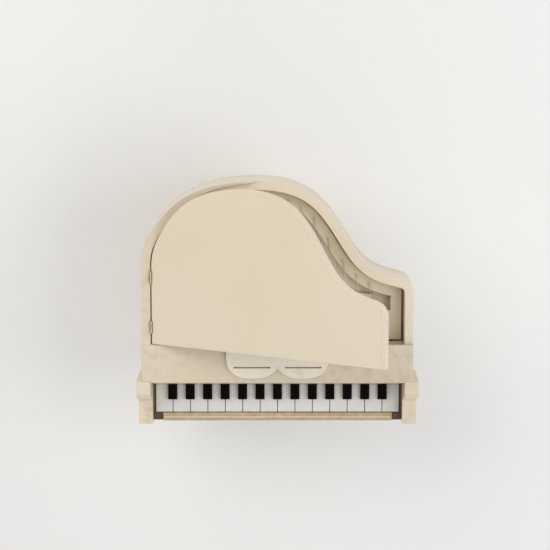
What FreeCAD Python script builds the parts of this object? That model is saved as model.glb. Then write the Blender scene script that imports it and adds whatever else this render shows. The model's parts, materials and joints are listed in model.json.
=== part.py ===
import FreeCAD, Part

import math
import os

# Miniature baby grand piano, about 1:12.
# +X is the treble side, +Y runs from the player to the tail and +Z is up.
# The origin is the centre of the footprint, on the surface that the feet stand on.
# The lid is modelled open, at its rest angle.

V = FreeCAD.Vector
doc = FreeCAD.newDocument("miniature_piano")

# ------------------------------------------------------------------ driving dimensions (mm, degrees)
DIMENSIONS = {
    "case_width": 127.0,        # outside of the rim, spine to treble side
    "total_depth": 118.0,       # front of the key slip to the tail
    "spine_length": 56.9,       # straight stretch of the spine, from the rim's front end
    "rim_front": -34.9,         # y of the rim's front end
    "rim_wall": 4.2,
    "rim_bottom": 56.0,
    "rim_top": 83.0,
    "top_board": 2.5,           # lid, hinge rail and front panel
    "shoulder_run": 5.0,        # width of the rounded corner between bentside and treble side
    "board": 2.0,               # bottom board
    "soundboard_top": 67.5,
    "soundboard_thick": 1.5,
    "plate_top": 73.6,
    "plate_thick": 1.3,
    "string_height": 74.3,
    "string_radius": 0.14,
    "lid_edge_inset": 0.4,      # lid edge inside the rim's outside face
    "lid_gap": 0.4,             # between the hinge rail and the lid
    "lid_lift": 0.1,            # between the rim's top and the closed lid
    "lid_front": -16.9,
    "panel_rear": -17.5,
    "hinge_x": -59.0,
    "hinge_lift": 0.6,          # hinge axis above the top boards
    "lid_angle": 30.0,          # opening at rest
    "keybed_thick": 3.0,
    "keybed_half": 65.7,
    "keybed_rear": -24.0,
    "key_pitch": 8.38,
    "key_gap": 0.26,
    "key_rear": -37.0,
    "key_front": -54.6,
    "key_top": 62.0,
    "sharp_width": 4.3,
    "sharp_rear": -40.9,
    "sharp_front": -48.4,
    "sharp_rise": 2.6,
    "slip_rear": -54.9,
    "slip_half": 55.1,
    "slip_top": 62.6,
    "arm_inner": 59.6,
    "arm_width": 6.6,
    "arm_block_top": 69.2,
    "desk_half": 24.0,
    "desk_reach": 13.7,
    "desk_thick": 1.4,
    "desk_hinge_y": -18.9,
    "desk_hinge_lift": 1.0,
    "stick_length": 59.9,
    "stick_x": 42.0,            # centre of the stored stick's eye
    "stick_y": -13.6,
    "stick_z": 79.0,
}

sheet = doc.addObject("Spreadsheet::Sheet", "Dims")
for row, (alias, value) in enumerate(DIMENSIONS.items(), start=1):
    sheet.set("A%d" % row, alias)
    sheet.set("B%d" % row, str(value))
    sheet.setAlias("B%d" % row, alias)
doc.recompute()


def dim(alias):
    """Value of one cell of the sheet."""
    return float(sheet.get(alias))


# Lengths used by several pieces.
half_width = dim("case_width") / 2
tail_y = dim("total_depth") / 2
slip_front = -tail_y
top_level = dim("rim_top") + dim("top_board")
hinge_z = top_level + dim("hinge_lift")

sub_parts = []


def register(obj, node):
    """Name a finished sub-part; its label is its file's name."""
    obj.Label = node
    sub_parts.append(obj)
    return obj


# ------------------------------------------------------------------ modelling helpers
def bind(obj, **expressions):
    """Bind properties to the sheet; a double underscore in a name stands for a dot."""
    for name, expression in expressions.items():
        obj.setExpression(name.replace("__", "."), expression)


def box(node, low, high, radius=0.0, edges=()):
    """Box between two corners given as sheet expressions; edges lists the numbers of rounded ones."""
    solid = doc.addObject("Part::Box", node + "_block")
    for side, axis, start, stop in zip(("Length", "Width", "Height"), "xyz", low, high):
        solid.setExpression(side, "(%s) - (%s)" % (stop, start))
        solid.setExpression("Placement.Base." + axis, start)
    if not radius:
        return solid
    doc.recompute()
    rounded = doc.addObject("Part::Fillet", node + "_rounded")
    rounded.Base = solid
    rounded.Edges = [(edge, radius, radius) for edge in edges]
    return rounded


def new_body(node):
    return doc.addObject("PartDesign::Body", node)


def add_sketch(body, role, curves, offset=None):
    """Sketch on one of the body's own origin planes, holding ready curves."""
    plane = [item for item in body.Origin.OriginFeatures if item.Role == role][0]
    sketch = body.newObject("Sketcher::SketchObject", body.Name + "_sketch")
    sketch.AttachmentSupport = (plane, [""])
    sketch.MapMode = "FlatFace"
    if offset:
        sketch.setExpression("AttachmentOffset.Base.z", offset)
    for curve in curves:
        sketch.addGeometry(curve, False)
    return sketch


def pad(body, sketch, length, both_sides=False):
    feature = body.newObject("PartDesign::Pad", body.Name + "_pad")
    feature.Profile = sketch
    feature.Midplane = both_sides
    feature.setExpression("Length", length)
    doc.recompute()
    return feature


def pocket(body, sketch):
    """Cut right through the body with a sketch, and make sure that something was cut."""
    before = body.Shape.Volume
    feature = body.newObject("PartDesign::Pocket", body.Name + "_pocket")
    feature.Profile = sketch
    feature.Type = "ThroughAll"
    doc.recompute()
    if body.Shape.Volume > before - 0.01:
        raise RuntimeError(body.Name + ": a pocket cuts nothing")
    return feature


def turned(node, profile):
    """Body of revolution about Z from (radius, height) points."""
    body = new_body(node)
    sketch = add_sketch(body, "XZ_Plane", polygon([(0, profile[0][1])] + profile + [(0, profile[-1][1])]))
    spin = body.newObject("PartDesign::Revolution", node + "_turning")
    spin.Profile = sketch
    spin.ReferenceAxis = (sketch, ["V_Axis"])
    spin.Angle = 360
    return body


def feature(node, shape):
    """Sub-part whose shape is worked out here from the sheet's values."""
    obj = doc.addObject("Part::Feature", node)
    obj.Shape = shape
    return obj


def polygon(points):
    """Closed chain of straight lines."""
    corners = [V(x, y, 0) for x, y in points]
    return [Part.LineSegment(a, b) for a, b in zip(corners, corners[1:] + corners[:1])]


def rectangle(x0, y0, x1, y1):
    return polygon([(x0, y0), (x1, y0), (x1, y1), (x0, y1)])


def outline(poles, treble_x, front_y):
    """Closed grand-piano outline: spine, curved tail and bentside, shoulder, treble side, front."""
    curve = Part.BSplineCurve()
    curve.buildFromPoles([V(x, y, 0) for x, y in poles], False, 3)
    spine, shoulder = curve.StartPoint, curve.EndPoint
    # The shoulder arc leaves the bentside along its end direction and turns down the treble side.
    slope = math.atan2(poles[-2][1] - poles[-1][1], poles[-1][0] - poles[-2][0])
    radius = (treble_x - shoulder.x) / (1 - math.sin(slope))
    centre = V(treble_x - radius, shoulder.y - radius * math.cos(slope), 0)
    halfway = (math.pi / 2 - slope) / 2
    corner = Part.Arc(shoulder, centre + V(radius * math.cos(halfway), radius * math.sin(halfway), 0),
                      centre + V(radius, 0, 0))
    return [curve, corner,
            Part.LineSegment(centre + V(radius, 0, 0), V(treble_x, front_y, 0)),
            Part.LineSegment(V(treble_x, front_y, 0), V(spine.x, front_y, 0)),
            Part.LineSegment(V(spine.x, front_y, 0), spine)]


def as_wire(curves):
    return Part.Wire(Part.__sortEdges__([curve.toShape() for curve in curves]))


def as_curves(wire):
    """Lines, arcs and splines of a flat wire, ready for a sketch."""
    curves = []
    for edge in wire.Edges:
        first, last = edge.FirstParameter, edge.LastParameter
        if edge.Curve.TypeId in ("Part::GeomLine", "Part::GeomLineSegment"):
            curves.append(Part.LineSegment(edge.valueAt(first), edge.valueAt(last)))
        elif edge.Curve.TypeId == "Part::GeomCircle":
            curves.append(Part.Arc(edge.valueAt(first), edge.valueAt((first + last) / 2), edge.valueAt(last)))
        else:
            curves.append(edge.Curve.toBSpline(first, last))
    return curves


def resize(curves, distance):
    """The same closed outline, grown by a distance or shrunk by a negative one."""
    return as_curves(as_wire(curves).makeOffset2D(distance))


# ------------------------------------------------------------------ outlines
spine_end = dim("rim_front") + dim("spine_length")
shoulder_x = half_width - dim("shoulder_run")
# Control points of the curved stretch: the spine's end, the tail, the S-shaped bentside, the shoulder.
CASE_POLES = [(-half_width, spine_end), (-half_width, spine_end + 3.5), (2.5 - half_width, spine_end + 9.5),
              (-48.0, tail_y - 7.0), (-20.0, tail_y + 1.5), (21.0, tail_y - 1.0), (38.0, tail_y - 42.0),
              (51.0, tail_y - 44.0), (shoulder_x, tail_y - 46.0)]


def case_outline(front_y):
    return outline(CASE_POLES, half_width, front_y)


def lid_outline():
    """The case's outline a little smaller, and set in from the spine and the bass side of the tail."""
    inset = dim("lid_edge_inset")
    spine_x = dim("hinge_x") + dim("lid_gap") / 2
    poles = [(spine_x, spine_end - 2.0), (spine_x, spine_end + 3.0), (-56.0, spine_end + 10.5),
             (-43.0, tail_y - 8.5), (-19.0, tail_y + 0.2)]
    poles += [(x - inset, y - inset) for x, y in CASE_POLES[5:]]
    return outline(poles, half_width - inset, dim("lid_front"))


def inside_case(clearance, front_y):
    """Outline of what fits inside the rim, cut off straight at the front."""
    beyond = dim("rim_wall") + clearance
    return resize(case_outline(front_y - beyond), -beyond)


# ------------------------------------------------------------------ case
def make_rim():
    body = new_body("rim")
    pad(body, add_sketch(body, "XY_Plane", case_outline(dim("rim_front")), "Dims.rim_bottom"),
        "Dims.rim_top - Dims.rim_bottom")
    beyond_front = dim("rim_front") - dim("rim_wall")
    pocket(body, add_sketch(body, "XY_Plane", inside_case(0, beyond_front), "Dims.rim_top"))
    return register(body, "rim")


def make_inner_board(node, clearance, top, thickness):
    """Flat board that fills the case's inside, from the rim's front end to the tail."""
    body = new_body(node)
    outline_curves = inside_case(clearance, dim("rim_front") + 2.6)
    pad(body, add_sketch(body, "XY_Plane", outline_curves, "(%s) - (%s)" % (top, thickness)), thickness)
    return register(body, node)


def make_hinge_rail():
    """Fixed strip of the top along the spine and the bass side of the tail."""
    body = new_body("hinge_rail")
    pad(body, add_sketch(body, "XY_Plane", case_outline(dim("panel_rear")), "Dims.rim_top"),
        "Dims.top_board")
    above = "Dims.rim_top + Dims.top_board"
    lid_hole = resize(lid_outline(), dim("lid_gap"))
    pocket(body, add_sketch(body, "XY_Plane", lid_hole, above))
    rail_end = -17.0
    pocket(body, add_sketch(body, "XY_Plane", rectangle(rail_end, -30, half_width + 5, tail_y + 5), above))
    for station in HINGE_STATIONS:
        slot = rectangle(dim("hinge_x") - LEAF_OUTER, station - HINGE_HALF,
                         dim("hinge_x"), station + HINGE_HALF)
        pocket(body, add_sketch(body, "XY_Plane", slot, above))
    return register(body, "hinge_rail")


def make_front_panel():
    """Fixed top board over the action; its nose stands out a little between the arms."""
    front, rear, tongue, nose = dim("rim_front"), dim("panel_rear"), dim("arm_inner") - 0.2, 0.7
    corners = [(-half_width, rear), (-half_width, front), (-tongue, front), (-tongue, front - nose),
               (tongue, front - nose), (tongue, front), (half_width, front), (half_width, rear)]
    body = new_body("front_panel")
    pad(body, add_sketch(body, "XY_Plane", polygon(corners), "Dims.rim_top"), "Dims.top_board")
    return register(body, "front_panel")


# ------------------------------------------------------------------ lid and its hinges
HINGE_STATIONS = (-8.9, 14.6)
HINGE_HALF = 2.8
KNUCKLE_RADIUS = 0.6
HINGE_PIN_RADIUS = 0.3
LEAF_THICK = 0.3
LEAF_DEPTH = 2.2
LEAF_OUTER = 0.5                # far side of a leaf, from the hinge axis
KNUCKLE_HALF = 0.9              # half the middle knuckle's length
KNUCKLE_GAP = 0.08


def hinge_leaf(side, spans, bore):
    """Leaf and knuckles about the Y axis; side is -1 for the rail's leaf and 1 for the lid's."""
    pieces = []
    for start, stop in spans:
        knuckle = Part.makeCylinder(KNUCKLE_RADIUS, stop - start, V(0, start, 0), V(0, 1, 0))
        neck = Part.makeBox(LEAF_THICK, stop - start, dim("hinge_lift"), V(0, start, -dim("hinge_lift")))
        neck.translate(V(0.2 if side > 0 else -LEAF_OUTER, 0, 0))
        pieces += [knuckle, neck]
    plate = Part.makeBox(LEAF_THICK, 2 * HINGE_HALF, LEAF_DEPTH,
                         V(0.2 if side > 0 else -LEAF_OUTER, -HINGE_HALF, -dim("hinge_lift") - LEAF_DEPTH))
    solid = plate.multiFuse(pieces).removeSplitter()
    return solid.cut(Part.makeCylinder(bore, 2 * HINGE_HALF, V(0, -HINGE_HALF, 0), V(0, 1, 0)))


def at_stations(shape):
    copies = []
    for station in HINGE_STATIONS:
        copy = shape.copy()
        copy.translate(V(0, station, 0))
        copies.append(copy)
    return Part.makeCompound(copies)


def make_lid_hinges():
    """Two butt hinges: the rail's leaves, the lid's leaves and the pins."""
    outer = KNUCKLE_HALF + KNUCKLE_GAP
    rail_spans = [(-HINGE_HALF, -outer), (outer, HINGE_HALF)]
    lid_spans = [(-KNUCKLE_HALF, KNUCKLE_HALF)]
    rail_leaves = feature("hinge_rail_leaves", at_stations(hinge_leaf(-1, rail_spans, HINGE_PIN_RADIUS)))
    lid_leaves = feature("hinge_lid_leaves", at_stations(hinge_leaf(1, lid_spans, HINGE_PIN_RADIUS + 0.05)))
    pin = Part.makeCylinder(HINGE_PIN_RADIUS, 2 * HINGE_HALF, V(0, -HINGE_HALF, 0), V(0, 1, 0))
    pins = feature("hinge_pins", at_stations(pin))
    for obj in (rail_leaves, pins):
        place_at_hinge(obj, "0")
    place_at_hinge(lid_leaves, "Dims.lid_angle")
    for obj, node in ((rail_leaves, "hinge_rail_leaves"), (lid_leaves, "hinge_lid_leaves"),
                      (pins, "hinge_pins")):
        register(obj, node)


def place_at_hinge(obj, angle):
    """Stand a piece drawn about the hinge axis on that axis, opened by an angle."""
    obj.Placement = FreeCAD.Placement(V(0, 0, 0), FreeCAD.Rotation(V(0, -1, 0), 1))
    bind(obj, Placement__Base__x="Dims.hinge_x",
         Placement__Base__z="Dims.rim_top + Dims.top_board + Dims.hinge_lift",
         Placement__Rotation__Angle=angle)


def make_lid():
    """Lid drawn flat with the hinge axis at its origin, then opened."""
    body = new_body("lid")
    curves = lid_outline()
    for curve in curves:
        curve.translate(V(-dim("hinge_x"), 0, 0))
    underside = "-Dims.hinge_lift - Dims.top_board + Dims.lid_lift"
    thickness = "Dims.top_board - Dims.lid_lift"
    pad(body, add_sketch(body, "XY_Plane", curves, underside), thickness)
    for station in HINGE_STATIONS:
        slot = rectangle(0, station - HINGE_HALF, LEAF_OUTER, station + HINGE_HALF)
        pocket(body, add_sketch(body, "XY_Plane", slot, "0 mm"))
    place_at_hinge(body, "Dims.lid_angle")
    return register(body, "lid")


# ------------------------------------------------------------------ inside of the case
PLATE_WEB_REAR = -3.0
PIN_ROW_Y = -9.0
STRING_COUNT = 18


def make_string_plate():
    """Cast plate on posts: an edge, a front web that carries the pins, and bars between them."""
    thick = dim("plate_thick")
    edge_width = 6.0
    above = dim("plate_top") - dim("soundboard_top")
    front = dim("panel_rear") + 0.5
    slab = Part.Face(as_wire(inside_case(1.0, front))).extrude(V(0, 0, thick))
    opening = Part.Face(as_wire(inside_case(edge_width, PLATE_WEB_REAR))).extrude(V(0, 0, thick))
    for foot_x, head_x in ((-33.0, -37.0), (-8.0, -16.0), (16.0, 5.0)):
        foot = V(foot_x, PLATE_WEB_REAR - 1, 0)
        run = V(head_x, tail_y - 8, 0) - foot
        bar = Part.makeBox(1.8, run.Length, thick, V(-0.9, 0, 0))
        bar.rotate(V(0, 0, 0), V(0, 0, 1), -math.degrees(math.atan2(run.x, run.y)))
        bar.translate(foot)
        opening = opening.cut(bar)
    solid = slab.cut(opening)
    solid.translate(V(0, 0, above - thick))
    for x, y in ((-54.0, -10.0), (54.0, -10.0), (-52.5, 20.0), (-9.0, 50.8), (24.0, 30.0)):
        solid = solid.fuse(Part.makeCylinder(1.5, above - thick, V(x, y, 0)))
    solid.translate(V(0, 0, dim("soundboard_top")))
    return register(feature("string_plate", solid.removeSplitter()), "string_plate")


def string_ends():
    """Front and rear end of each string; they fan out a little and follow the tail."""
    inner = Part.Face(as_wire(inside_case(4.0, PLATE_WEB_REAR)))
    ends = []
    for index in range(STRING_COUNT):
        share = index / (STRING_COUNT - 1)
        front = V(-50.0 + 96.0 * share, PIN_ROW_Y, 0)
        far = front + V(-5.0 - 9.0 * share, 90, 0)
        inside = inner.common(Part.LineSegment(front, far).toShape())
        rear = max(inside.Vertexes, key=lambda vertex: vertex.Point.y).Point
        ends.append((front, rear))
    return ends


def make_strings():
    level = V(0, 0, dim("string_height"))
    wires = []
    for front, rear in string_ends():
        run = rear - front
        wires.append(Part.makeCylinder(dim("string_radius"), run.Length, front + level, run))
    return register(feature("strings", Part.makeCompound(wires)), "strings")


def make_pins():
    """Tuning pins at the front of each string and hitch pins at its rear."""
    base = dim("plate_top")
    tuning, hitch = [], []
    for front, rear in string_ends():
        tuning.append(Part.makeCylinder(0.45, 2.4, V(front.x, front.y - 0.6, base)))
        hitch.append(Part.makeCylinder(0.35, 1.3, V(rear.x, rear.y + 0.45, base)))
    register(feature("tuning_pins", Part.makeCompound(tuning)), "tuning_pins")
    register(feature("hitch_pins", Part.makeCompound(hitch)), "hitch_pins")


def make_bridge():
    """Curved bridge glued to the soundboard under the strings."""
    height = 3.6
    half = 1.1
    points = [V(44, 3, 0), V(8, 12, 0), V(-30, 37, 0)]
    outer = Part.Arc(*[p + V(half, half, 0) for p in points])
    inner = Part.Arc(*[p - V(half, half, 0) for p in points])
    ends = [Part.LineSegment(outer.StartPoint, inner.StartPoint),
            Part.LineSegment(outer.EndPoint, inner.EndPoint)]
    body = new_body("bridge")
    pad(body, add_sketch(body, "XY_Plane", [outer, inner] + ends, "Dims.soundboard_top"), "%f" % height)
    return register(body, "bridge")


def make_case_front():
    """Wrest plank, belly rail and fallboard behind the keys."""
    inner = "(Dims.case_width / 2 - Dims.rim_wall - 0.1)"
    plank = box("pin_block", ("-" + inner, "Dims.rim_front + 2.6", "Dims.soundboard_top"),
                (inner, "Dims.panel_rear - 0.5", "Dims.plate_top"))
    register(plank, "pin_block")
    rail = box("belly_rail", ("-" + inner, "Dims.rim_front", "Dims.rim_bottom"),
               (inner, "Dims.rim_front + 2.5", "Dims.rim_top"))
    register(rail, "belly_rail")
    front, top, low = dim("rim_front"), dim("rim_top"), dim("key_top") + 0.4
    profile = [(front, top), (front - 0.7, top), (front - 5.5, low + 2.0), (front - 5.5, low),
               (front - 3.7, low), (front, top - 4.0)]
    body = new_body("fallboard")
    pad(body, add_sketch(body, "YZ_Plane", polygon(profile)), "2 * Dims.arm_inner - 0.4", True)
    register(body, "fallboard")


# ------------------------------------------------------------------ keyboard
WHITE_KEYS = 14


def make_keys():
    """White keys side by side, and a black key over every joint between two of them."""
    for number in range(1, WHITE_KEYS + 1):
        node = "white_key_%02d" % number
        centre = "(%s * Dims.key_pitch)" % (number - (WHITE_KEYS + 1) / 2)
        half = "(Dims.key_pitch - Dims.key_gap) / 2"
        low = (centre + " - " + half, "Dims.key_front", "Dims.rim_bottom")
        high = (centre + " + " + half, "Dims.key_rear", "Dims.key_top")
        register(box(node, low, high, 0.35, (2, 6, 9)), node)
    for number in range(1, WHITE_KEYS):
        node = "black_key_%02d" % number
        length, rise = dim("sharp_rear") - dim("sharp_front"), dim("sharp_rise")
        profile = [(0, 0), (length, 0), (length, rise), (0.9, rise), (0.35, rise - 0.35)]
        body = new_body(node)
        block = pad(body, add_sketch(body, "YZ_Plane", polygon(profile)), "Dims.sharp_width", True)
        top = ["Edge%d" % index for index, edge in enumerate(block.Shape.Edges, start=1)
               if is_long_top(edge, rise)]
        rounding = body.newObject("PartDesign::Fillet", node + "_rounding")
        rounding.Base = (block, top)
        rounding.Radius = 0.5
        bind(body, Placement__Base__x="%s * Dims.key_pitch" % (number - WHITE_KEYS / 2),
             Placement__Base__y="Dims.sharp_front", Placement__Base__z="Dims.key_top")
        register(body, node)


def is_long_top(edge, height):
    """True for an edge that runs along Y at this height."""
    ends = [vertex.Point for vertex in edge.Vertexes]
    return all(abs(end.z - height) < 1e-6 for end in ends) and abs(ends[0].x - ends[1].x) < 1e-6


def make_key_bed():
    low = ("-Dims.keybed_half", "-Dims.total_depth / 2", "Dims.rim_bottom - Dims.keybed_thick")
    high = ("Dims.keybed_half", "Dims.keybed_rear", "Dims.rim_bottom")
    register(box("key_bed", low, high, 0.8, (9, 11)), "key_bed")
    low = ("-Dims.slip_half", "-Dims.total_depth / 2 + 0.1", "Dims.rim_bottom")
    high = ("Dims.slip_half", "Dims.slip_rear", "Dims.slip_top")
    register(box("key_slip", low, high, 0.6, (10,)), "key_slip")
    blocks = []
    for side in (-1, 1):
        edges = sorted([side * (dim("slip_half") + 0.1), side * (dim("arm_inner") - 0.1)])
        block = Part.makeBox(edges[1] - edges[0], dim("slip_rear") - slip_front - 0.4,
                             dim("slip_top") - dim("rim_bottom") - 0.8,
                             V(edges[0], slip_front + 0.4, dim("rim_bottom")))
        blocks.append(block)
    register(feature("key_blocks", Part.makeCompound(blocks)), "key_blocks")


def make_arms():
    """Arms beside the keys: an S-shaped top runs down from the case to a square front block."""
    rear, front, low = dim("rim_front"), slip_front, dim("rim_bottom")
    block_top = dim("arm_block_top")
    scroll = Part.BSplineCurve()
    scroll.buildFromPoles([V(rear, top_level, 0), V(rear - 5.5, top_level, 0),
                           V(rear - 10.0, top_level - 2.5, 0), V(rear - 10.5, block_top + 1.0, 0),
                           V(rear - 13.5, block_top, 0), V(front + 8.0, block_top, 0)], False, 3)
    profile = [scroll] + [Part.LineSegment(V(*a, 0), V(*b, 0)) for a, b in (
        ((front + 8.0, block_top), (front, block_top)), ((front, block_top), (front, low)),
        ((front, low), (rear, low)), ((rear, low), (rear, top_level)))]
    for side, node in ((-1, "left_arm"), (1, "right_arm")):
        body = new_body(node)
        pad(body, add_sketch(body, "YZ_Plane", profile), "Dims.arm_width", True)
        bind(body, Placement__Base__x="%d * (Dims.arm_inner + Dims.arm_width / 2)" % side)
        register(body, node)


# ------------------------------------------------------------------ legs and pedals
def make_legs():
    """Turned legs with a square top block and a flat foot."""
    stations = {"front_left_leg": (-52.0, -44.0, dim("rim_bottom") - dim("keybed_thick")),
                "front_right_leg": (52.0, -44.0, dim("rim_bottom") - dim("keybed_thick")),
                "rear_leg": (-9.0, 43.0, dim("rim_bottom"))}
    for node, (x, y, height) in stations.items():
        profile = [(2.6, 0), (2.6, 1.4), (1.5, 2.2), (1.7, 3.2), (2.1, 4.6), (1.7, 6.0), (2.0, 7.0),
                   (3.3, height - 14), (3.9, height - 12.5), (3.3, height - 11), (4.6, height - 9.5)]
        profile += [(4.6, height - 5), (5.2, height - 4), (5.2, height)]
        body = turned(node, profile)
        body.Placement.Base = V(x, y, 0)
        register(body, node)


PEDAL_SPACING = 5.0
LYRE_Y = -38.0


def make_lyre():
    """Lyre frame under the key bed, the pedal box at its foot, the pedals and two brace rods."""
    top = dim("rim_bottom") - dim("keybed_thick")
    body = new_body("lyre")
    waist = 14.0
    outside = Part.BSplineCurve()
    outside.interpolate([V(7.5, waist, 0), V(4.6, 27, 0), V(8.2, top - 4, 0)])
    inside = Part.BSplineCurve()
    inside.interpolate([V(5.2, waist + 2.5, 0), V(2.6, 27, 0), V(5.8, top - 6.5, 0)])
    right = [outside, inside]
    left = [curve.copy() for curve in right]
    for curve in left:
        curve.mirror(V(0, 0, 0), V(0, 1, 0))
    frame = right + left + [
        Part.LineSegment(V(-7.5, waist, 0), V(7.5, waist, 0)),
        Part.LineSegment(V(-5.2, waist + 2.5, 0), V(5.2, waist + 2.5, 0)),
        Part.LineSegment(V(-5.8, top - 6.5, 0), V(5.8, top - 6.5, 0)),
        Part.LineSegment(V(8.2, top - 4, 0), V(8.2, top, 0)),
        Part.LineSegment(V(-8.2, top - 4, 0), V(-8.2, top, 0)),
        Part.LineSegment(V(-8.2, top, 0), V(8.2, top, 0))]
    pad(body, add_sketch(body, "XZ_Plane", frame), "2.6 mm", True)
    body.Placement.Base = V(0, LYRE_Y, 0)
    register(body, "lyre")
    box_half_depth = 3.2
    low = ("-9.5", "%f" % (LYRE_Y - box_half_depth), "9.0")
    high = ("9.5", "%f" % (LYRE_Y + box_half_depth), "%f" % waist)
    register(box("pedal_box", low, high, 0.8, (9, 10, 11, 12)), "pedal_box")
    pedals = []
    for index in (-1, 0, 1):
        stem = Part.makeBox(1.6, 4.9, 1.0, V(-0.8, -4.9, -0.5))
        toe = Part.makeCylinder(1.5, 1.0, V(0, -5.4, -0.5))
        pedal = stem.fuse(toe).removeSplitter()
        pedal.translate(V(index * PEDAL_SPACING, LYRE_Y - box_half_depth, 11.2))
        pedals.append(pedal)
    register(feature("pedals", Part.makeCompound(pedals)), "pedals")
    # Each rod is drawn too long and trimmed by the pedal box's back and the key bed's underside.
    rods = []
    between = Part.makeBox(40, 40, top, V(-20, LYRE_Y + box_half_depth, 0))
    for side in (-1, 1):
        foot = V(side * 6.0, LYRE_Y + box_half_depth, 11.5)
        head = V(side * 6.0, LYRE_Y + 12.9, top)
        run = head - foot
        excess = V(run).normalize() * 2.0
        rod = Part.makeCylinder(0.55, run.Length + 2 * excess.Length, foot - excess, run)
        rods.append(rod.common(between))
    register(feature("lyre_braces", Part.makeCompound(rods)), "lyre_braces")


# ------------------------------------------------------------------ music desk and prop stick
def make_music_desk():
    """Two-lobed desk that lies on the front panel and swings up about its rear edge."""
    half, reach, thick = dim("desk_half"), dim("desk_reach"), dim("desk_thick")
    hinge_rise = dim("desk_hinge_lift")
    barrel, rod_radius, end_gap = 0.8, 0.4, 0.1
    notch = 9.6
    lobe_half = half / 2
    shape = [Part.LineSegment(V(-half, 0, 0), V(half, 0, 0))]
    for side in (-1, 1):
        lobe = Part.BSplineCurve()
        lobe.buildFromPoles([V(side * half, -4.5, 0), V(side * half, -9.5, 0),
                             V(side * (half - 5.0), -reach - 0.4, 0), V(side * lobe_half, -reach - 0.8, 0),
                             V(side * 4.0, -reach - 0.3, 0), V(0, -notch, 0)], False, 3)
        shape += [lobe, Part.LineSegment(V(side * half, -4.5, 0), V(side * half, 0, 0))]
    plate = Part.Face(as_wire(shape)).extrude(V(0, 0, thick))
    slot_depth = 0.7
    for side in (-1, 1):
        slot = Part.makeBox(17.0, slot_depth, thick, V(-8.5, -9.4, 0))
        plate = plate.cut(slot.translated(V(side * lobe_half, 0, 0)))
    plate.translate(V(0, 0, -barrel))
    hinge = Part.makeCylinder(barrel, 2 * half, V(-half, 0, 0), V(1, 0, 0))
    desk = plate.fuse(hinge).cut(Part.makeCylinder(rod_radius + 0.05, 2 * half, V(-half, 0, 0), V(1, 0, 0)))
    obj = feature("music_desk", desk.removeSplitter())
    ends = Part.makeCylinder(rod_radius, 2 * (half + 1.0), V(-half - 1.0, 0, 0), V(1, 0, 0))
    for side in (-1, 1):
        block = Part.makeBox(1.8, 2.2, hinge_rise + 0.9, V(-0.9, -1.1, -hinge_rise))
        ends = ends.fuse(block.translated(V(side * (half + end_gap + 0.9), 0, 0)))
    rod = feature("desk_hinge_rod", ends.removeSplitter())
    for piece, node in ((obj, "music_desk"), (rod, "desk_hinge_rod")):
        bind(piece, Placement__Base__y="Dims.desk_hinge_y",
             Placement__Base__z="Dims.rim_top + Dims.top_board + Dims.desk_hinge_lift")
        register(piece, node)


def make_prop_stick():
    """Prop stick stored behind the front panel, the bracket that holds its eye and the rest at its tip."""
    thick, width, eye_radius, pin_radius = 1.6, 2.4, 1.7, 0.5
    cheek, head_thick = 1.6, 0.6
    ground = dim("plate_top")
    across = V(0, 1, 0)
    eye = V(dim("stick_x"), dim("stick_y"), dim("stick_z"))
    tip = dim("stick_length") - width / 2
    stick = Part.makeBox(tip, thick, width, V(-tip, -thick / 2, -width / 2))
    for x, radius in ((0, eye_radius), (-tip, width / 2)):
        stick = stick.fuse(Part.makeCylinder(radius, thick, V(x, -thick / 2, 0), across))
    stick = stick.cut(Part.makeCylinder(pin_radius, thick, V(0, -thick / 2, 0), across))
    obj = feature("prop_stick", stick.removeSplitter())
    bind(obj, Placement__Base__x="Dims.stick_x", Placement__Base__y="Dims.stick_y",
         Placement__Base__z="Dims.stick_z")
    register(obj, "prop_stick")
    front, back = eye.y - thick / 2 - cheek, eye.y + thick / 2
    bracket = Part.makeBox(2 * eye_radius, cheek, eye.z - ground, V(eye.x - eye_radius, front, ground))
    bracket = bracket.fuse([
        Part.makeCylinder(eye_radius, cheek, V(eye.x, front, eye.z), across),
        Part.makeCylinder(pin_radius, cheek + thick, V(eye.x, front, eye.z), across),
        Part.makeCylinder(2 * pin_radius, head_thick, V(eye.x, back, eye.z), across)])
    rest_half = 1.2
    rest = Part.makeBox(2 * rest_half, thick + 1.0, eye.z - width / 2 - ground,
                        V(eye.x - tip + rest_half, eye.y - thick / 2 - 0.5, ground))
    register(feature("prop_bracket", Part.makeCompound([bracket.removeSplitter(), rest])), "prop_bracket")


# ------------------------------------------------------------------ build, check and write
def build():
    make_rim()
    make_inner_board("bottom_board", 0.05, "Dims.rim_bottom + Dims.board", "Dims.board")
    make_inner_board("soundboard", 0.05, "Dims.soundboard_top", "Dims.soundboard_thick")
    make_hinge_rail()
    make_front_panel()
    make_lid()
    make_lid_hinges()
    make_string_plate()
    make_strings()
    make_pins()
    make_bridge()
    make_case_front()
    make_keys()
    make_key_bed()
    make_arms()
    make_legs()
    make_lyre()
    make_music_desk()
    make_prop_stick()
    doc.recompute()


def check_document():
    for obj in doc.Objects:
        if {"Invalid", "Error"} & set(obj.State):
            raise RuntimeError("%s did not compute: %s" % (obj.Name, obj.State))
    for obj in sub_parts:
        if obj.Shape.isNull() or not obj.Shape.isValid() or not obj.Shape.Solids:
            raise RuntimeError("%s has no valid solid" % obj.Label)


build()
check_document()
os.makedirs("parts", exist_ok=True)
for sub_part in sub_parts:
    sub_part.Shape.exportStep("parts/%s.step" % sub_part.Label)
print("%d sub-parts written" % len(sub_parts))
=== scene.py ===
import json
import math

import bmesh
import bpy
from mathutils import Matrix, Vector


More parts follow.
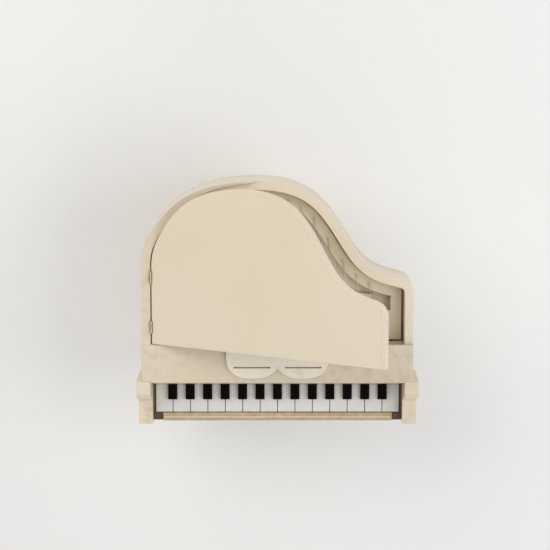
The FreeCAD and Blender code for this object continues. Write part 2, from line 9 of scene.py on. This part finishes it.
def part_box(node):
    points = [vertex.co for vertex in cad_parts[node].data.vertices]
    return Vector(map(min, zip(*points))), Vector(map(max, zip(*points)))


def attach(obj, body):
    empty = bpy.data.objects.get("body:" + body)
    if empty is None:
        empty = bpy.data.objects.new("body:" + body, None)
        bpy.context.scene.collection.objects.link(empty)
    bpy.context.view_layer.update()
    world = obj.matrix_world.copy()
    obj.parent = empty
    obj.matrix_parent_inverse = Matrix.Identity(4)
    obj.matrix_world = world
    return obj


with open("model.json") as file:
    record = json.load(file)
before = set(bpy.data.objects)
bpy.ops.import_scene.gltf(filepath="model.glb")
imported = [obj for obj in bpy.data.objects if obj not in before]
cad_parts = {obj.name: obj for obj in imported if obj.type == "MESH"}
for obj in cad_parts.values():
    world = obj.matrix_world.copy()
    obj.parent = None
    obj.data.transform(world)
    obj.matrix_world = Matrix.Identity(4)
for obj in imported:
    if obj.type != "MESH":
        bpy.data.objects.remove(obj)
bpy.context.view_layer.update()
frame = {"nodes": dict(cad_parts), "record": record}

MM = 0.001
WELD_DISTANCE = 1e-6
LEVEL_TOLERANCE = 2e-5
FLAT_ANGLE = math.radians(0.6)
NODES = frame["nodes"]
SCENE = bpy.context.scene


# ---------------------------------------------------------------- node-graph helpers
class Graph:
    """Short way to build one material's node tree."""

    def __init__(self, name):
        self.material = bpy.data.materials.new(name)
        self.material.use_nodes = True
        self.tree = self.material.node_tree
        self.tree.nodes.clear()
        self.output = self.tree.nodes.new("ShaderNodeOutputMaterial")
        self.shader = self.tree.nodes.new("ShaderNodeBsdfPrincipled")
        self.tree.links.new(self.shader.outputs["BSDF"], self.output.inputs["Surface"])
        self.coords = self.tree.nodes.new("ShaderNodeTexCoord").outputs["Object"]

    def node(self, kind, **settings):
        made = self.tree.nodes.new(kind)
        for key, value in settings.items():
            setattr(made, key, value)
        return made

    def link(self, source, target):
        self.tree.links.new(source, target)

    def place(self, scale):
        """Object coordinates scaled per axis, where a scale below 1 draws a pattern out along it."""
        mapping = self.node("ShaderNodeMapping")
        mapping.inputs["Scale"].default_value = scale
        self.link(self.coords, mapping.inputs["Vector"])
        return mapping.outputs["Vector"]

    def noise(self, size, detail=4.0, roughness=0.55, vector=None, distortion=0.0):
        """Noise whose features are about `size` metres across."""
        made = self.node("ShaderNodeTexNoise")
        made.inputs["Scale"].default_value = 1 / size
        made.inputs["Detail"].default_value = detail
        made.inputs["Roughness"].default_value = roughness
        made.inputs["Distortion"].default_value = distortion
        self.link(vector or self.coords, made.inputs["Vector"])
        return made.outputs["Fac"]

    def ramp(self, factor, stops):
        """Colour ramp through (position, colour) stops."""
        made = self.node("ShaderNodeValToRGB")
        elements = made.color_ramp.elements
        while len(elements) < len(stops):
            elements.new(0.5)
        for element, (position, colour) in zip(elements, stops):
            element.position = position
            element.color = (*colour, 1)
        self.link(factor, made.inputs["Fac"])
        return made.outputs["Color"]

    def spread(self, factor, low, high, start=0.3, stop=0.7):
        """Number that follows a factor from low to high."""
        made = self.node("ShaderNodeMapRange")
        for name, value in (("From Min", start), ("From Max", stop), ("To Min", low), ("To Max", high)):
            made.inputs[name].default_value = value
        self.link(factor, made.inputs["Value"])
        return made.outputs["Result"]

    def feed(self, value, target):
        """Gives an input a link, a colour or a plain number."""
        if isinstance(value, bpy.types.NodeSocket):
            self.link(value, target)
        elif isinstance(value, tuple):
            target.default_value = (*value, 1)
        else:
            target.default_value = value

    def mix(self, factor, first, second):
        """Colour between two colours."""
        made = self.node("ShaderNodeMix", data_type="RGBA")
        for value, index in ((factor, 0), (first, 6), (second, 7)):
            self.feed(value, made.inputs[index])
        return made.outputs[2]

    def product(self, first, second):
        made = self.node("ShaderNodeMath", operation="MULTIPLY")
        self.feed(first, made.inputs[0])
        self.feed(second, made.inputs[1])
        return made.outputs[0]

    def painted_crevice_shade(self, reach):
        """Painted shade: darker where another surface is within reach, lighter in the open."""
        made = self.node("ShaderNodeAmbientOcclusion", samples=6)
        made.inputs["Distance"].default_value = reach
        return made.outputs["AO"]

    def edges(self, low=0.5, high=0.62):
        """1 on sharp outside edges, 0 on flat faces."""
        return self.spread(self.node("ShaderNodeNewGeometry").outputs["Pointiness"], 0, 1, low, high)

    def bumps(self, *layers):
        """Stack of (height, strength, distance) bumps on the surface."""
        normal = None
        for height, strength, distance in layers:
            made = self.node("ShaderNodeBump")
            made.inputs["Strength"].default_value = strength
            made.inputs["Distance"].default_value = distance
            self.link(height, made.inputs["Height"])
            if normal:
                self.link(normal, made.inputs["Normal"])
            normal = made.outputs["Normal"]
        self.link(normal, self.shader.inputs["Normal"])

    def set(self, **values):
        """Feeds the shader's inputs, named with underscores for spaces."""
        for name, value in values.items():
            self.feed(value, self.shader.inputs[name.replace("_", " ")])


def darker(colour, part):
    """A colour with each channel scaled."""
    return tuple(channel * part for channel in colour)


# ---------------------------------------------------------------- materials
def lacquer(name, light, deep, rub, gloss=(0.28, 0.36), coat=0.18, wear=0.4):
    """Sprayed lacquer on wood: clouded colour, orange peel, rubbed edges and painted shade in the corners."""
    g = Graph(name)
    cloud = g.noise(0.07, 2, 0.4, distortion=0.3)
    colour = g.ramp(cloud, [(0.3, deep), (0.7, light)])
    speckle = g.noise(0.0014, 3, 0.7)
    colour = g.mix(g.spread(speckle, 0, 0.035, 0.5, 0.85), colour, rub)
    worn = g.product(g.edges(0.53, 0.62), g.spread(g.noise(0.005, 4), 0, wear, 0.48, 0.75))
    colour = g.mix(worn, colour, rub)
    # painted shade: darker in corners and crevices, in a darker copy of the rub colour
    corner_shade = g.spread(g.painted_crevice_shade(0.002), 0.2, 0.0, 0.2, 0.75)
    colour = g.mix(corner_shade, colour, darker(rub, 0.7))
    smudge = g.noise(0.018, 3, 0.5)
    g.set(Base_Color=colour, Roughness=g.spread(smudge, *gloss, 0.3, 0.72),
          Coat_Weight=coat, Coat_Roughness=0.2)
    peel = g.noise(0.0011, 2, 0.4)
    waves = g.noise(0.02, 1, 0.3)
    g.bumps((waves, 0.03, 0.0001), (peel, 0.02, 0.000012))
    return g.material


def drawn_out(along):
    """Scale that draws grain or brush lines out along one axis."""
    return tuple(0.06 if axis == along else 1 for axis in "xyz")


def wood(name, light, dark, along, gloss=(0.38, 0.55), line=0.0011):
    """Wood with grain that runs along one axis, pores, a satin finish and painted shade in its corners."""
    g = Graph(name)
    grain = g.noise(line, 6, 0.65, g.place(drawn_out(along)), 0.6)
    rings = g.noise(line * 5, 3, 0.5, g.place(drawn_out(along)), 1.2)
    colour = g.ramp(grain, [(0.3, dark), (0.68, light)])
    colour = g.mix(g.spread(rings, 0, 0.45, 0.4, 0.7), colour, dark)
    pores = g.noise(line * 0.4, 2, 0.5, g.place(drawn_out(along)))
    colour = g.mix(g.spread(pores, 0, 0.4, 0.6, 0.75), colour, darker(dark, 0.45))
    worn = g.product(g.edges(), g.spread(g.noise(0.003, 3), 0, 0.5, 0.4, 0.7))
    colour = g.mix(worn, colour, tuple(min(1.0, part * 1.25) for part in light))
    # painted shade: darker in corners and crevices, where other surfaces are near
    colour = g.mix(g.spread(g.painted_crevice_shade(0.002), 0.45, 0, 0.2, 0.8), colour, darker(dark, 0.35))
    g.set(Base_Color=colour, Roughness=g.spread(grain, *gloss), Coat_Weight=0.12, Coat_Roughness=0.25)
    g.bumps((grain, 0.25, 0.00008), (pores, 0.2, 0.00004))
    return g.material


def plastic(name, light, deep, gloss, coat, grime_and_shade, shine=0.5):
    """Moulded key covering: faint mottling, fine scratches along the key and painted shade at its base."""
    g = Graph(name)
    mottle = g.noise(0.004, 4, 0.6)
    colour = g.ramp(mottle, [(0.35, deep), (0.65, light)])
    scratches = g.noise(0.0005, 3, 0.7, g.place((1, 0.08, 1)))
    colour = g.mix(g.spread(scratches, 0, 0.06, 0.6, 0.8), colour, grime_and_shade)
    # painted shade: darker at the key's base and in its gaps, where other surfaces are near
    colour = g.mix(g.spread(g.painted_crevice_shade(0.0012), 0.6, 0, 0.15, 0.8), colour, grime_and_shade)
    g.set(Base_Color=colour, Roughness=g.spread(scratches, *gloss, 0.35, 0.7),
          Coat_Weight=coat, Coat_Roughness=0.08, Specular_IOR_Level=shine)
    g.bumps((scratches, 0.08, 0.00003), (mottle, 0.05, 0.00005))
    return g.material


def metal(name, bright, dull, corner_shade_tone, roughness, along="x"):
    """Drawn or stamped metal: brush lines, tarnish in patches and painted shade in the corners."""
    g = Graph(name)
    lines = g.noise(0.0003, 4, 0.6, g.place(drawn_out(along)))
    patch = g.noise(0.0035, 5, 0.6, distortion=0.8)
    colour = g.ramp(patch, [(0.36, dull), (0.62, bright)])
    colour = g.mix(g.spread(lines, 0, 0.18, 0.4, 0.7), colour, dull)
    # painted shade: darker in corners and crevices, where other surfaces are near
    colour = g.mix(g.spread(g.painted_crevice_shade(0.0015), 0.6, 0, 0.2, 0.85), colour, corner_shade_tone)
    g.set(Base_Color=colour, Metallic=1.0, Roughness=g.spread(patch, *roughness))
    g.bumps((lines, 0.15, 0.00002), (patch, 0.1, 0.00006))
    return g.material


def cast_paint(name, light, deep, rub):
    """Bronze paint over a sand casting: metal flake, a pebbled skin, rubbed high spots and painted shade in
    its corners.
    """
    g = Graph(name)
    flake = g.noise(0.00035, 2, 0.5)
    cloud = g.noise(0.02, 4, 0.55)
    colour = g.ramp(cloud, [(0.35, deep), (0.65, light)])
    colour = g.mix(g.spread(flake, 0, 0.4, 0.5, 0.7), colour, rub)
    # painted shade: darker in corners and crevices, where other surfaces are near
    colour = g.mix(g.spread(g.painted_crevice_shade(0.003), 0.5, 0, 0.2, 0.85), colour, darker(deep, 0.3))
    g.set(Base_Color=colour, Metallic=0.15, Roughness=g.spread(flake, 0.36, 0.5))
    g.bumps((g.noise(0.0009, 4, 0.6), 0.3, 0.0001), (flake, 0.12, 0.00003))
    return g.material


def felt(name, light, deep):
    """Pressed wool: soft mottling, loose fibres and a sheen."""
    g = Graph(name)
    fibre = g.noise(0.0003, 6, 0.75, distortion=2.0)
    colour = g.ramp(fibre, [(0.35, deep), (0.65, light)])
    g.set(Base_Color=colour, Roughness=g.spread(fibre, 0.85, 1.0), Sheen_Weight=0.4, Sheen_Roughness=0.5)
    g.bumps((fibre, 0.6, 0.00012))
    return g.material


IVORY = lacquer("ivory_lacquer", (0.82, 0.735, 0.60), (0.79, 0.695, 0.535), (0.50, 0.38, 0.24))
# painted highlight: the music desk's lacquer is a lighter copy of the ivory lacquer
LIT_DESK_IVORY = lacquer("lit_desk_ivory_lacquer", (0.88, 0.82, 0.71), (0.85, 0.78, 0.66), (0.50, 0.38, 0.24),
                     wear=0.6)
# painted shade: a darker copy of the ivory lacquer, for the front panel, hinge rail and rail tip
SHADED_IVORY = lacquer("shaded_ivory_lacquer", (0.74, 0.655, 0.53), (0.695, 0.605, 0.465), (0.46, 0.34, 0.21))
WORN_IVORY = lacquer("worn_ivory_lacquer", (0.80, 0.715, 0.57), (0.76, 0.665, 0.50), (0.46, 0.33, 0.19),
                     wear=0.9)
INNER = lacquer("inner_lacquer", (0.80, 0.73, 0.60), (0.75, 0.67, 0.53), (0.48, 0.37, 0.24),
                gloss=(0.34, 0.46), coat=0.12)
PALE_BOARD = wood("pale_board", (0.78, 0.72, 0.60), (0.70, 0.63, 0.50), "y", (0.36, 0.5), 0.0016)
TAN = wood("tan_wood", (0.60, 0.47, 0.31), (0.42, 0.30, 0.17), "x")
# painted highlight: a paler copy of the tan wood, for the key slip's bead
LIT_TAN = wood("highlight_tan_wood", (0.74, 0.64, 0.48), (0.60, 0.49, 0.34), "x")
DARK = wood("dark_wood", (0.16, 0.095, 0.055), (0.06, 0.033, 0.02), "x")
MAPLE = wood("maple", (0.74, 0.64, 0.48), (0.62, 0.51, 0.35), "x", line=0.0008)
WHITE_KEY = plastic("white_key", (0.825, 0.815, 0.79), (0.78, 0.765, 0.735), (0.18, 0.3), 0.3,
                    (0.34, 0.29, 0.22))
BLACK_KEY = plastic("black_key", (0.004, 0.003, 0.0025), (0.002, 0.0016, 0.0014), (0.3, 0.5), 0.0,
                    (0.012, 0.010, 0.009), 0.05)
BRASS = metal("brass", (0.86, 0.64, 0.28), (0.62, 0.42, 0.16), (0.18, 0.10, 0.04), (0.2, 0.38))
STEEL = metal("steel_wire", (0.72, 0.71, 0.69), (0.48, 0.47, 0.45), (0.12, 0.11, 0.10), (0.22, 0.4), "y")
OLD_BRASS = metal("old_brass", (0.70, 0.58, 0.38), (0.48, 0.38, 0.23), (0.14, 0.09, 0.05), (0.32, 0.5))
COPPER = metal("copper_winding", (0.78, 0.42, 0.24), (0.52, 0.24, 0.12), (0.16, 0.07, 0.04), (0.28, 0.42))
PLATE = cast_paint("plate_paint", (0.76, 0.69, 0.53), (0.70, 0.62, 0.45), (0.84, 0.78, 0.62))
BROWN_FELT = felt("brown_felt", (0.10, 0.07, 0.05), (0.045, 0.03, 0.022))

SLOT_MATERIALS = {"ivory_lacquer": IVORY, "inner_lacquer": INNER, "tan_wood": TAN, "dark_wood": DARK,
                  "white_key": WHITE_KEY, "black_key": BLACK_KEY, "brass": BRASS, "plate_paint": PLATE,
                  "steel_wire": STEEL}
NODE_MATERIALS = {"soundboard": PALE_BOARD, "bridge": MAPLE, "left_arm": WORN_IVORY, "right_arm": WORN_IVORY,
                  # painted shade on the front panel and hinge rail; painted highlight on the music desk
                  "front_panel": SHADED_IVORY, "hinge_rail": SHADED_IVORY, "music_desk": LIT_DESK_IVORY,
                  "hinge_rail_leaves": OLD_BRASS, "hinge_lid_leaves": OLD_BRASS, "hinge_pins": OLD_BRASS,
                  "desk_hinge_rod": OLD_BRASS, "prop_bracket": OLD_BRASS}
SLOTS = {row["node"]: row["material_slot"] for row in frame["record"]["subparts"]}
for node, obj in NODES.items():
    obj.data.materials.clear()
    obj.data.materials.append(NODE_MATERIALS.get(node, SLOT_MATERIALS[SLOTS[node]]))


# ---------------------------------------------------------------- softened edges of the CAD pieces
def soften(node, width):
    """Rounds a CAD piece's hard edges a little, with modifiers only."""
    obj = NODES[node]
    weld = obj.modifiers.new("weld", "WELD")
    weld.merge_threshold = WELD_DISTANCE
    planar = obj.modifiers.new("flat_faces", "DECIMATE")
    planar.decimate_type = "DISSOLVE"
    planar.angle_limit = FLAT_ANGLE
    bevel = obj.modifiers.new("rounded_edges", "BEVEL")
    bevel.width = width
    bevel.segments = 3
    bevel.limit_method = "ANGLE"
    bevel.angle_limit = math.radians(32)
    bevel.harden_normals = True
    bevel.use_clamp_overlap = True


EDGE_WIDTHS = {0.65: ("lid",), 0.4: ("front_panel",),
               0.35: ("left_arm", "right_arm", "key_bed", "rim", "hinge_rail"),
               0.25: ("key_slip", "fallboard", "music_desk", "pedal_box", "lyre", "key_blocks", "belly_rail"),
               0.15: ("pin_block", "bridge", "pedals")}
for width, nodes in EDGE_WIDTHS.items():
    for node in nodes:
        soften(node, width * MM)


# ---------------------------------------------------------------- mesh helpers
def finish_piece(name, bm, material, body, smooth=40):
    """Turn a bmesh into a shaded piece that rides on a body."""
    bmesh.ops.remove_doubles(bm, verts=bm.verts, dist=1e-7)
    bmesh.ops.recalc_face_normals(bm, faces=bm.faces)
    mesh = bpy.data.meshes.new(name)
    bm.to_mesh(mesh)
    bm.free()
    mesh.materials.append(material)
    for face in mesh.polygons:
        face.use_smooth = True
    mesh.set_sharp_from_angle(angle=math.radians(smooth))
    obj = bpy.data.objects.new(name, mesh)
    SCENE.collection.objects.link(obj)
    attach(obj, body)


def skin(bm, rings):
    """Faces between one closed ring of points and the next, and a cap at each end."""
    rings = [[bm.verts.new(point) for point in ring] for ring in rings]
    for first, second in zip(rings, rings[1:]):
        for index in range(len(first)):
            after = (index + 1) % len(first)
            bm.faces.new((first[index], first[after], second[after], second[index]))
    bm.faces.new(list(reversed(rings[0])))
    bm.faces.new(rings[-1])


def lathe(bm, profile, place, axis=(0, 0, 1), steps=32):
    """Solid of revolution from (radius, height) points, closed at both ends."""
    turn = Vector((0, 0, 1)).rotation_difference(Vector(axis)).to_matrix()
    angles = [2 * math.pi * step / steps for step in range(steps)]
    skin(bm, [[turn @ Vector((radius * math.cos(angle), radius * math.sin(angle), height)) + Vector(place)
               for angle in angles] for radius, height in profile])


def bar(bm, section, start, stop):
    """Straight level bar with a closed section of (side, up) points."""
    start, stop, up = Vector(start), Vector(stop), Vector((0, 0, 1))
    side = (stop - start).normalized().cross(up).normalized()
    skin(bm, [[end + side * x + up * y for x, y in section] for end in (start, stop)])


def half_round(width, height, steps=8):
    """Flat-backed bead section."""
    angles = [math.pi * step / steps for step in range(steps + 1)]
    return [(-width / 2 * math.cos(angle), height * math.sin(angle)) for angle in angles]


# ---------------------------------------------------------------- detail pieces
def islands(node):
    """Vertex lists of a node's separate solids, from the lowest X to the highest."""
    bm = bmesh.new()
    bm.from_mesh(NODES[node].data)
    bmesh.ops.remove_doubles(bm, verts=bm.verts, dist=WELD_DISTANCE)
    left, found = set(bm.verts), []
    while left:
        stack, group = [left.pop()], []
        while stack:
            vert = stack.pop()
            group.append(vert.co.copy())
            for edge in vert.link_edges:
                other = edge.other_vert(vert)
                if other in left:
                    left.remove(other)
                    stack.append(other)
        found.append(group)
    bm.free()
    return sorted(found, key=lambda group: sum(point.x for point in group) / len(group))


def string_line(points):
    """Front and rear centre of one string from its solid's points."""
    middle = (min(point.y for point in points) + max(point.y for point in points)) / 2
    halves = [[point for point in points if (point.y < middle) == front] for front in (True, False)]
    return [sum(half, Vector()) / len(half) for half in halves]


def make_windings():
    """Copper winding over the speaking length of the bass strings, turn by turn."""
    wound, pitch, margin = 7, 0.42 * MM, 4 * MM
    groove, crown = 0.19 * MM, 0.25 * MM
    bm = bmesh.new()
    for points in islands("strings")[:wound]:
        front, rear = string_line(points)
        run = (rear - front).normalized()
        length = (rear - front).length - 2 * margin
        profile = []
        for turn in range(int(length / pitch)):
            profile += [(groove, turn * pitch), (crown, (turn + 0.5) * pitch)]
        lathe(bm, profile, front + run * margin, run, 8)
    finish_piece("bass_windings", bm, COPPER, "case", 80)


def make_plate_bolts():
    """Domed bolts in the plate's front web, each on its own washer."""
    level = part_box("string_plate")[1].z
    reach, count, row = 33 * MM, 7, -5.0 * MM
    washer = [(1.05, 0), (1.05, 0.16), (0.95, 0.2), (0.72, 0.21)]
    head = [(0.68, 0.42), (0.5, 0.62), (0.22, 0.7), (0.05, 0.72)]
    profile = [(radius * MM, height * MM) for radius, height in washer + head]
    bm = bmesh.new()
    for index in range(count):
        lathe(bm, profile, (-reach + 2 * reach * index / (count - 1), row, level), steps=20)
    finish_piece("plate_bolts", bm, BRASS, "case")


def flat_outline(node, level, turn=Matrix()):
    """Corners of a piece's largest flat face at a level, from its bass front corner round the tail."""
    bm = bmesh.new()
    bm.from_mesh(NODES[node].data)
    bmesh.ops.transform(bm, matrix=turn, verts=bm.verts)
    bmesh.ops.remove_doubles(bm, verts=bm.verts, dist=WELD_DISTANCE)
    bmesh.ops.dissolve_limit(bm, angle_limit=FLAT_ANGLE, verts=bm.verts, edges=bm.edges)
    flat = [face for face in bm.faces if all(abs(vert.co.z - level) < LEVEL_TOLERANCE for vert in face.verts)]
    ring = [vert.co.copy() for vert in max(flat, key=lambda face: face.calc_area()).verts]
    bm.free()
    start = min(range(len(ring)), key=lambda index: ring[index].x + ring[index].y)
    ring = ring[start:] + ring[:start]
    if ring[1].y < ring[0].y + 1 * MM:
        ring = [ring[0]] + ring[:0:-1]
    return ring


def ribbon(bm, path, section, turn=Matrix()):
    """Closed section of (outward, up) points swept along a flat path that keeps the piece on its right."""
    rings = []
    for index, point in enumerate(path):
        along = (path[min(index + 1, len(path) - 1)] - path[max(index - 1, 0)]).normalized()
        outward = Vector((-along.y, along.x, 0))
        rings.append([turn @ (point + outward * out + Vector((0, 0, up))) for out, up in section])
    skin(bm, rings)


def closed_lid():
    """The turn that closes the lid, and the level and corners of its top face once closed."""
    joint = [row for row in frame["record"]["behaviour"]["joints"] if row["name"] == "lid_hinge"][0]
    pivot, closing = Vector(joint["pos_m"]), math.radians(-joint["range_deg"][0])
    shut = Matrix.Translation(pivot) @ Matrix.Rotation(closing, 4, "Y") @ Matrix.Translation(-pivot)
    level = max((shut @ vert.co).z for vert in NODES["lid"].data.vertices)
    return shut, level, flat_outline("lid", level, shut)


def make_lid_bead():
    """Fine raised line just inside the lid's edge, along its free bentside and treble side."""
    shut, level, ring = closed_lid()
    inset, start_x = 1.5 * MM, -20 * MM
    front = min(point.y for point in ring) + inset
    path = [point for point in ring if point.x > start_x and point.y > front]
    path.append(Vector((path[-1].x, front, level)))
    section = [(across - inset, up) for across, up in half_round(0.6 * MM, 0.14 * MM, 6)]
    bm = bmesh.new()
    ribbon(bm, path, section, shut.inverted())
    finish_piece("lid_bead", bm, IVORY, "lid", 60)


def make_slip_bead():
    """Rounded bead along the middle of the key slip's top."""
    low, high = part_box("key_slip")
    y, inset = (low.y + high.y) / 2, 0.5 * MM
    bm = bmesh.new()
    bar(bm, half_round(1.0 * MM, 0.35 * MM), (low.x + inset, y, high.z), (high.x - inset, y, high.z))
    # painted highlight: the bead is coloured paler than the key slip's tan wood
    finish_piece("key_slip_bead", bm, LIT_TAN, "case", 60)


def make_key_felt():
    """Strip of dark felt along the foot of the fallboard, above the keys' tails."""
    low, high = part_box("fallboard")
    half, tall, inset = 0.175 * MM, 1.2 * MM, 1.0 * MM
    section = [(-half, 0), (half, 0), (half, tall * 0.8), (0, tall), (-half, tall * 0.8)]
    y = low.y - half
    bm = bmesh.new()
    bar(bm, section, (low.x + inset, y, low.z), (high.x - inset, y, low.z))
    finish_piece("key_felt", bm, BROWN_FELT, "case", 50)


def make_arm_gap_shade():
    """Painted shade: dark wood strips that fill the gap between each arm and the outermost key."""
    arm, slip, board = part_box("right_arm")[0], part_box("key_slip")[1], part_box("fallboard")[0]
    outer, inner = arm.x - 0.02 * MM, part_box("white_key_14")[1].x + 0.3 * MM
    low, high = slip.z - 5.0 * MM, slip.z + 1.4 * MM
    chamfer, gap = 0.2 * MM, 0.2 * MM
    section = [(inner, low), (outer, low), (outer, high), (inner + chamfer, high), (inner, high - chamfer)]
    bm = bmesh.new()
    for side in (-1, 1):
        skin(bm, [[Vector((side * x, y, z)) for x, z in section] for y in (slip.y + gap, board.y - gap)])
    finish_piece("arm_gap_shade", bm, DARK, "case", 30)


def make_ferrules():
    """Brass ferrule round each foot."""
    foot = 2.6 * MM
    steps = [(0.05, 0.05), (0.22, 0.2), (0.22, 0.9), (0.34, 1.0), (0.34, 1.25), (0.2, 1.38), (-0.1, 1.42)]
    profile = [(foot + out * MM, height * MM) for out, height in steps]
    for node in ("front_left_leg", "front_right_leg", "rear_leg"):
        low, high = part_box(node)
        bm = bmesh.new()
        lathe(bm, profile, ((low.x + high.x) / 2, (low.y + high.y) / 2, 0))
        finish_piece(node + "_ferrule", bm, BRASS, "case")


def make_rim_moulding():
    """Rounded moulding round the foot of the case."""
    low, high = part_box("rim")
    ring = flat_outline("rim", low.z)
    corner = Vector((high.x, low.y, low.z))
    stop = min(range(len(ring)), key=lambda index: (ring[index] - corner).length)
    lift, height, reach, sunk, steps = 0.6 * MM, 1.5 * MM, 0.6 * MM, 0.05 * MM, 7
    angles = [math.pi * step / steps for step in range(steps + 1)]
    section = [(reach * math.sin(angle) - sunk, lift + height * (1 - math.cos(angle)) / 2)
               for angle in angles]
    bm = bmesh.new()
    ribbon(bm, ring[:stop + 1], section)
    finish_piece("rim_moulding", bm, IVORY, "case", 50)


def rear_edge(ring, x):
    """How far back an outline reaches at a given x, near the tail."""
    return max(first.y + (second.y - first.y) * (x - first.x) / (second.x - first.x)
               for first, second in zip(ring, ring[1:]) if first.x <= x < second.x)


def make_rail_tip():
    """Tapered end of the hinge rail, which runs it down onto the rim at the tail."""
    rail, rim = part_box("hinge_rail")[1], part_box("rim")
    lid_ring, rim_ring = closed_lid()[2], flat_outline("rim", rim[0].z)
    lid_rear = rear_edge(lid_ring, rail.x)
    gap = min(vert.co.y for vert in NODES["hinge_rail"].data.vertices
              if abs(vert.co.x - rail.x) < LEVEL_TOLERANCE and vert.co.y > lid_rear) - lid_rear
    overlap, run, steps = 0.6 * MM, 9 * MM, 18
    base, below_rail = rim[1].z - 0.05 * MM, 0.01 * MM
    rings = []
    for step in range(steps + 1):
        x = rail.x - overlap + (run + overlap) * step / steps
        fall = max(0.0, (x - rail.x) / run)
        top = rim[1].z + (rail.z - rim[1].z) * (1 + math.cos(math.pi * fall)) / 2 - below_rail
        inner, outer = rear_edge(lid_ring, x) + gap, rear_edge(rim_ring, x)
        corners = (outer, base), (outer, top), (inner, top), (inner, base)
        rings.append([Vector((x, y, z)) for y, z in corners])
    bm = bmesh.new()
    skin(bm, rings)
    # painted shade: the rail tip takes the darker copy of the ivory lacquer
    finish_piece("rail_tip", bm, SHADED_IVORY, "case", 40)


make_windings()
make_plate_bolts()
make_lid_bead()
make_slip_bead()
make_key_felt()
make_arm_gap_shade()
make_ferrules()
make_rim_moulding()
make_rail_tip()


# ---------------------------------------------------------------- floor, lights, camera
def make_floor():
    """Wide flat pale floor with faint clouding."""
    g = Graph("floor_paint")
    tone = g.noise(0.35, 3)
    g.set(Base_Color=g.ramp(tone, [(0.3, (0.87, 0.87, 0.87)), (0.7, (0.90, 0.90, 0.90))]),
          Roughness=g.spread(g.noise(0.02, 4), 0.5, 0.62))
    mesh = bpy.data.meshes.new("floor")
    bm = bmesh.new()
    bmesh.ops.create_grid(bm, x_segments=8, y_segments=8, size=3.0)
    bm.to_mesh(mesh)
    bm.free()
    floor = bpy.data.objects.new("floor", mesh)
    SCENE.collection.objects.link(floor)
    mesh.materials.append(g.material)


def area_light(name, place, aim, size, energy, tint=(1, 1, 1)):
    """Soft rectangular light that points from its place at its aim."""
    data = bpy.data.lights.new(name, "AREA")
    data.shape = "RECTANGLE"
    data.size, data.size_y = size
    data.energy = energy
    data.color = tint
    light = bpy.data.objects.new(name, data)
    SCENE.collection.objects.link(light)
    light.location = place
    light.rotation_mode = "QUATERNION"
    light.rotation_quaternion = (Vector(aim) - Vector(place)).to_track_quat("-Z", "Y")


def make_lights():
    """Warm key light behind the tail's bass side, cool fill from the treble side, and a front light."""
    centre = (0, 0, 0.08)
    area_light("key_light", (-0.38, 0.42, 0.62), centre, (0.6, 0.6), 2.4, (1.0, 0.962, 0.90))
    area_light("fill_light", (0.5, -0.02, 0.62), (0.05, 0.0, 0.08), (0.55, 0.55), 1.9, (0.98, 0.99, 1.0))
    area_light("front_light", (0.1, -0.9, 0.7), centre, (1.0, 0.6), 1.6)
    world = bpy.data.worlds.new("studio")
    world.use_nodes = True
    background = world.node_tree.nodes["Background"]
    background.inputs["Color"].default_value = (1.0, 0.99, 0.975, 1)
    background.inputs["Strength"].default_value = 0.5
    SCENE.world = world
    SCENE.view_settings.view_transform = "Standard"


def make_camera():
    """Looks almost straight down, from a little behind the tail, with the tail at the top of the frame."""
    lean, distance = math.radians(8.65), 0.878
    target = Vector((-0.00118, 0.01554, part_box("front_panel")[1].z))
    data = bpy.data.cameras.new("camera")
    data.sensor_width = 36
    data.lens = 123.9
    data.clip_start, data.clip_end = 0.01, 20
    camera = bpy.data.objects.new("camera", data)
    SCENE.collection.objects.link(camera)
    camera.location = target + Vector((0, math.sin(lean), math.cos(lean))) * distance
    camera.rotation_euler = (-lean, 0, 0)
    SCENE.camera = camera


make_floor()
make_lights()
make_camera()
